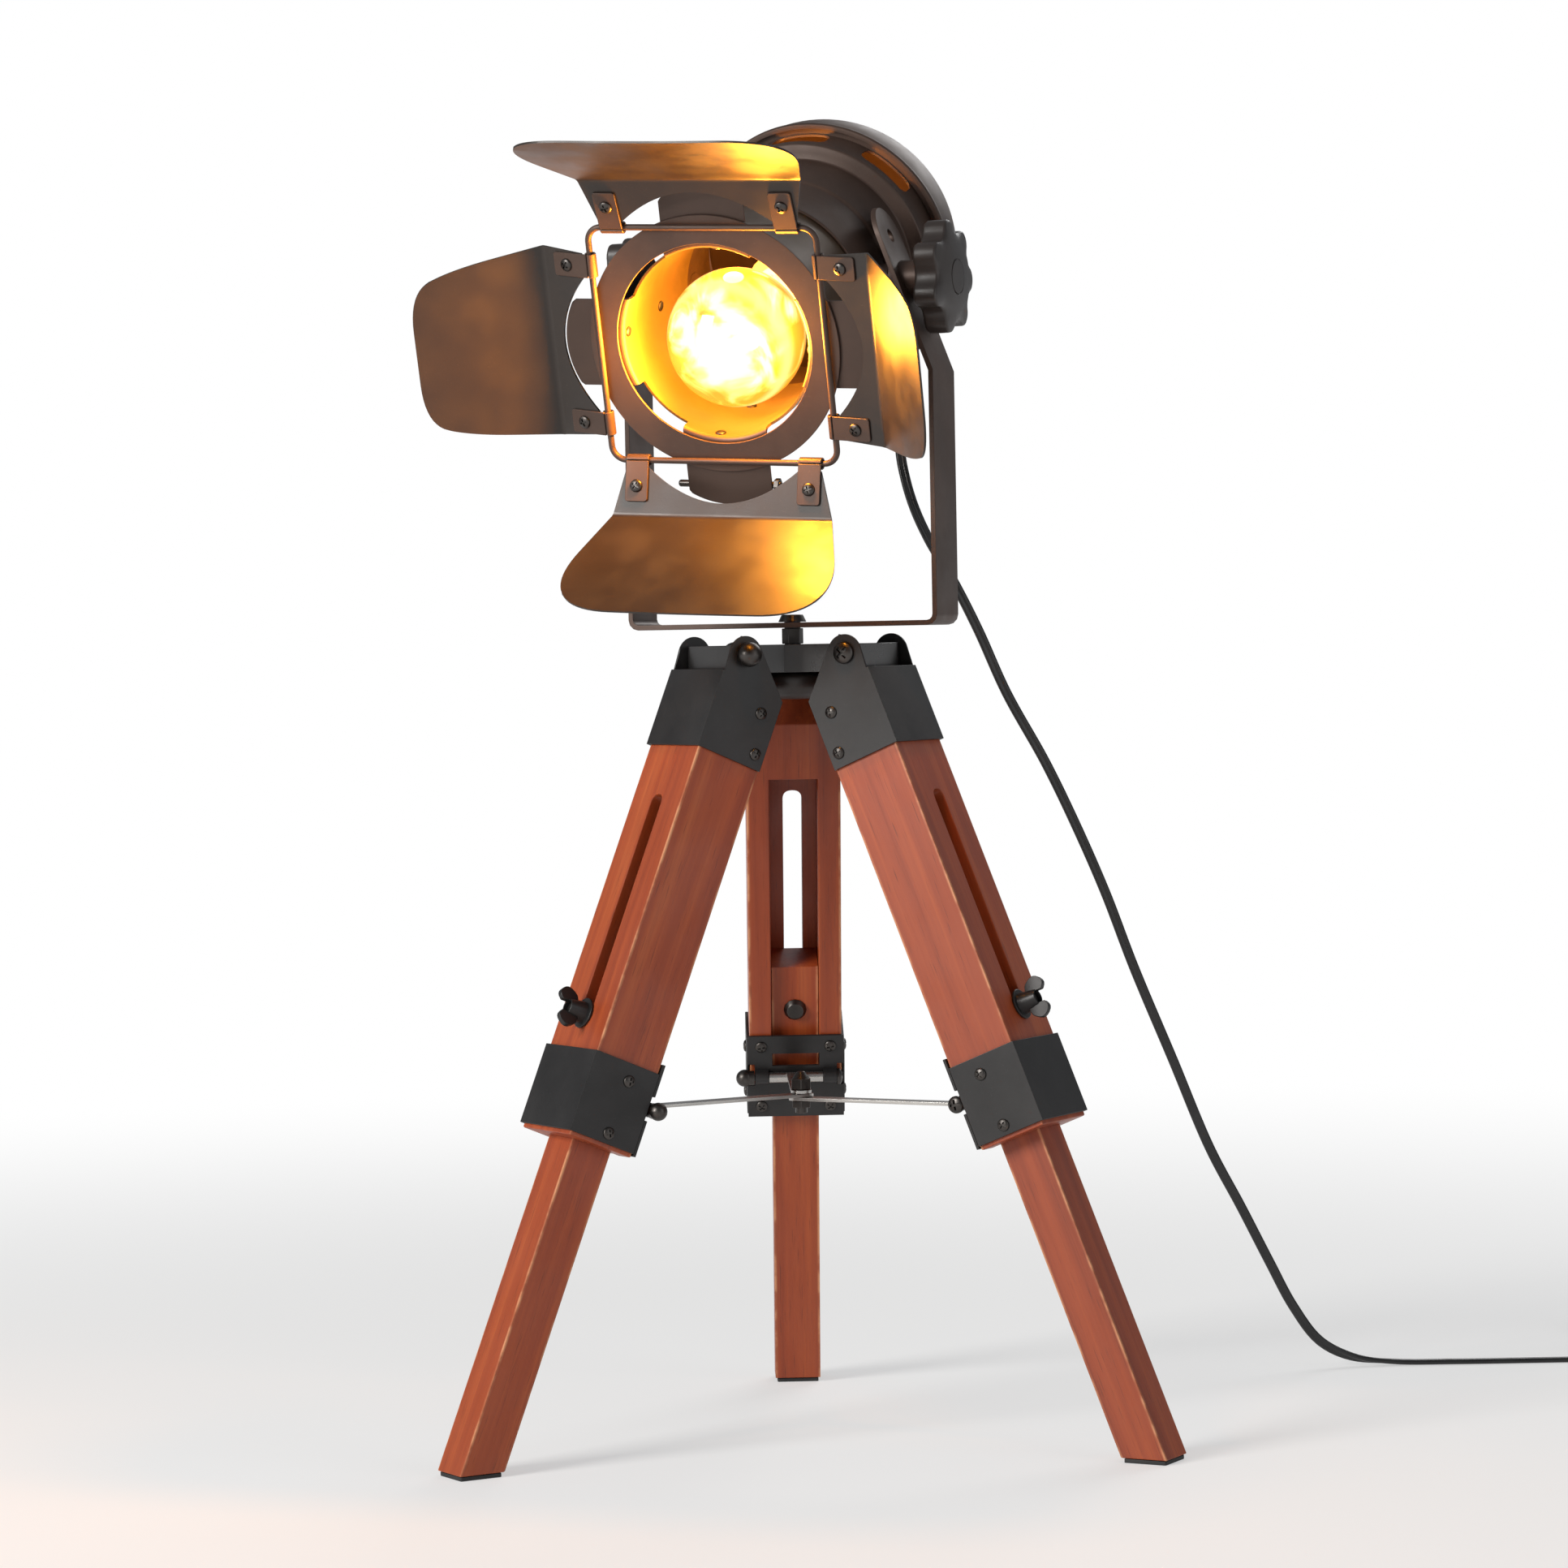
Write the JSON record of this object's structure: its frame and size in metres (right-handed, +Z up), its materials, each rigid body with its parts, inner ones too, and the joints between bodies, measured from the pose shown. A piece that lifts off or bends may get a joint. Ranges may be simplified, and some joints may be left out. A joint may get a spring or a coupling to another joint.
{
  "type": "tripod table lamp",
  "caption": "Table lamp with a small stage-light head and barn doors on a tilting strip yoke, over a wooden tripod with sliding legs and a folding spreader.",
  "frame": {"origin": "on the table, under the middle of the lamp without its cord", "axes": "+Z up, the light aims towards -Y and a little to -X, the cord leaves at the back and lies towards +X"},
  "size_m": [0.6918, 0.5756, 0.6496],
  "materials": {
    "stained_wood": "satin",
    "black_bracket": "satin",
    "hub_black": "satin",
    "dark_screw": "satin",
    "bronze_paint": "matte",
    "knob_plastic": "satin",
    "bright_steel": "satin",
    "foot_rubber": "matte",
    "amber_glass": "clear",
    "socket_porcelain": "gloss",
    "cord_pvc": "gloss"
  },
  "bodies": {
    "stand": {"hub": "hub_black", "cord": "cord_pvc", "cord_coil": "cord_pvc", "cord_switch": "knob_plastic", "cord_tail": "cord_pvc", "plug": "knob_plastic"},
    "hub_knob": {"hub_clamp_knob": "knob_plastic"},
    "yoke": {"yoke": "bronze_paint", "pan_bolt": "dark_screw"},
    "knob_right": {"tilt_knob_right": "knob_plastic"},
    "knob_left": {"tilt_knob_left": "knob_plastic"},
    "head": {"housing": "bronze_paint", "back_cap": "bronze_paint", "front_barrel": "bronze_paint", "front_ring": "bronze_paint", "wire_frame": "bronze_paint", "strain_relief": "foot_rubber", "bulb": "amber_glass", "socket": "socket_porcelain", "socket_bracket": "bright_steel"},
    "leaf_top": {"barn_door_top": "bronze_paint"},
    "leaf_right": {"barn_door_right": "bronze_paint"},
    "leaf_bottom": {"barn_door_bottom": "bronze_paint"},
    "leaf_left": {"barn_door_left": "bronze_paint"},
    "rocker": {"switch_rocker": "knob_plastic"},
    "leg_1": {"outer_leg_1": "stained_wood", "top_bracket_1": "black_bracket", "pivot_screw_1": "dark_screw", "lower_bracket_1": "black_bracket", "inner_plate_1": "black_bracket", "spreader_pin_1": "dark_screw"},
    "foot_1": {"inner_leg_1": "stained_wood", "foot_pad_1": "foot_rubber", "leg_bolt_1": "dark_screw"},
    "wing_1": {"wing_nut_1": "black_bracket"},
    "arm_1": {"spreader_arm_1": "bright_steel", "spreader_cap_nut": "dark_screw"},
    "leg_2": {"outer_leg_2": "stained_wood", "top_bracket_2": "black_bracket", "pivot_screw_2": "dark_screw", "lower_bracket_2": "black_bracket", "inner_plate_2": "black_bracket", "spreader_pin_2": "dark_screw"},
    "foot_2": {"inner_leg_2": "stained_wood", "foot_pad_2": "foot_rubber", "leg_bolt_2": "dark_screw"},
    "wing_2": {"wing_nut_2": "black_bracket"},
    "arm_2": {"spreader_arm_2": "bright_steel"},
    "leg_3": {"outer_leg_3": "stained_wood", "top_bracket_3": "black_bracket", "pivot_screw_3": "dark_screw", "lower_bracket_3": "black_bracket", "inner_plate_3": "black_bracket", "spreader_pin_3": "dark_screw"},
    "foot_3": {"inner_leg_3": "stained_wood", "foot_pad_3": "foot_rubber", "leg_bolt_3": "dark_screw"},
    "wing_3": {"wing_nut_3": "black_bracket"},
    "arm_3": {"spreader_arm_3": "bright_steel", "spreader_bolt": "dark_screw"}
  },
  "joints": [
    {"name": "hub_knob_turn", "type": "hinge", "parent": "stand", "child": "hub_knob", "pos_m": [-0.0012, 0.0005, 0.369], "axis": [0, 0, 1], "continuous": true},
    {"name": "pan", "type": "hinge", "parent": "stand", "child": "yoke", "pos_m": [-0.0012, 0.0005, 0.39], "axis": [0, 0, 1], "range_deg": [-75, 65]},
    {"name": "leg_1_fold", "type": "hinge", "parent": "stand", "child": "leg_1", "pos_m": [-0.00225, 0.04208, 0.385], "axis": [-0.9997, -0.0253, 0], "range_deg": [0, 17.5]},
    {"name": "leg_1_length", "type": "slide", "parent": "leg_1", "child": "foot_1", "axis": [0.0096, -0.3809, 0.9245], "range_m": [0, 0.104]},
    {"name": "wing_1_turn", "type": "hinge", "parent": "foot_1", "child": "wing_1", "pos_m": [-0.00434, 0.12441, 0.21668], "axis": [-0.0234, 0.9243, 0.3811], "continuous": true},
    {"name": "arm_1_swing", "type": "hinge", "parent": "leg_1", "child": "arm_1", "pos_m": [-0.00363, 0.09642, 0.16837], "axis": [-0.9997, -0.0253, 0], "range_deg": [0, 52.5]},
    {"name": "leg_2_fold", "type": "hinge", "parent": "stand", "child": "leg_2", "pos_m": [-0.03669, -0.02121, 0.385], "axis": [0.5218, -0.8531, 0], "range_deg": [0, 17.5]},
    {"name": "leg_2_length", "type": "slide", "parent": "leg_2", "child": "foot_2", "axis": [0.3251, 0.1988, 0.9245], "range_m": [0, 0.104]},
    {"name": "wing_2_turn", "type": "hinge", "parent": "foot_2", "child": "wing_2", "pos_m": [-0.10695, -0.06418, 0.21668], "axis": [-0.7887, -0.4824, 0.3811], "continuous": true},
    {"name": "arm_2_swing", "type": "hinge", "parent": "leg_2", "child": "arm_2", "pos_m": [-0.08306, -0.04957, 0.16837], "axis": [0.5218, -0.8531, 0], "range_deg": [-63, 0]},
    {"name": "leg_3_fold", "type": "hinge", "parent": "stand", "child": "leg_3", "pos_m": [0.03534, -0.01938, 0.385], "axis": [0.4779, 0.8784, 0], "range_deg": [0, 17.5]},
    {"name": "leg_3_length", "type": "slide", "parent": "leg_3", "child": "foot_3", "axis": [-0.3347, 0.1821, 0.9245], "range_m": [0, 0.104]},
    {"name": "wing_3_turn", "type": "hinge", "parent": "foot_3", "child": "wing_3", "pos_m": [0.10768, -0.05874, 0.21668], "axis": [0.8121, -0.4419, 0.3811], "continuous": true},
    {"name": "arm_3_swing", "type": "hinge", "parent": "leg_3", "child": "arm_3", "pos_m": [0.08308, -0.04536, 0.16837], "axis": [0.4779, 0.8784, 0], "range_deg": [-87.5, 0]},
    {"name": "knob_right_turn", "type": "hinge", "parent": "yoke", "child": "knob_right", "pos_m": [0.07297, -0.02947, 0.565], "axis": [0.9272, -0.3746, 0], "continuous": true},
    {"name": "knob_left_turn", "type": "hinge", "parent": "yoke", "child": "knob_left", "pos_m": [-0.07538, 0.03047, 0.565], "axis": [-0.9272, 0.3746, 0], "continuous": true},
    {"name": "tilt", "type": "hinge", "parent": "yoke", "child": "head", "pos_m": [-0.0012, 0.0005, 0.565], "axis": [0.9272, -0.3746, 0], "range_deg": [-65, 8]},
    {"name": "leaf_top_swing", "type": "hinge", "parent": "head", "child": "leaf_top", "pos_m": [-0.0409, -0.10579, 0.58483], "axis": [-0.9326, 0.3575, 0.0492], "range_deg": [-40, 37]},
    {"name": "leaf_right_swing", "type": "hinge", "parent": "head", "child": "leaf_right", "pos_m": [0.01729, -0.10701, 0.52804], "axis": [-0.0794, -0.3363, 0.9384], "range_deg": [-47, 27]},
    {"name": "leaf_bottom_swing", "type": "hinge", "parent": "head", "child": "leaf_bottom", "pos_m": [-0.03177, -0.06712, 0.47691], "axis": [0.9326, -0.3575, -0.0492], "range_deg": [-33, 12]},
    {"name": "leaf_left_swing", "type": "hinge", "parent": "head", "child": "leaf_left", "pos_m": [-0.08996, -0.0659, 0.53369], "axis": [0.0794, 0.3363, -0.9384], "range_deg": [-70, 4]},
    {"name": "switch_rock", "type": "hinge", "parent": "stand", "child": "rocker", "pos_m": [0.49902, 0.29555, 0.0152], "axis": [1, 0, 0], "range_deg": [-14, 0]}
  ],
  "couplings": [
    {"joint": "leg_2_fold", "follows": "leg_1_fold", "ratio": 1},
    {"joint": "leg_3_fold", "follows": "leg_1_fold", "ratio": 1},
    {"joint": "arm_1_swing", "follows": "leg_1_fold", "ratio": 3},
    {"joint": "arm_2_swing", "follows": "leg_1_fold", "ratio": -3.6},
    {"joint": "arm_3_swing", "follows": "leg_1_fold", "ratio": -5}
  ]
}
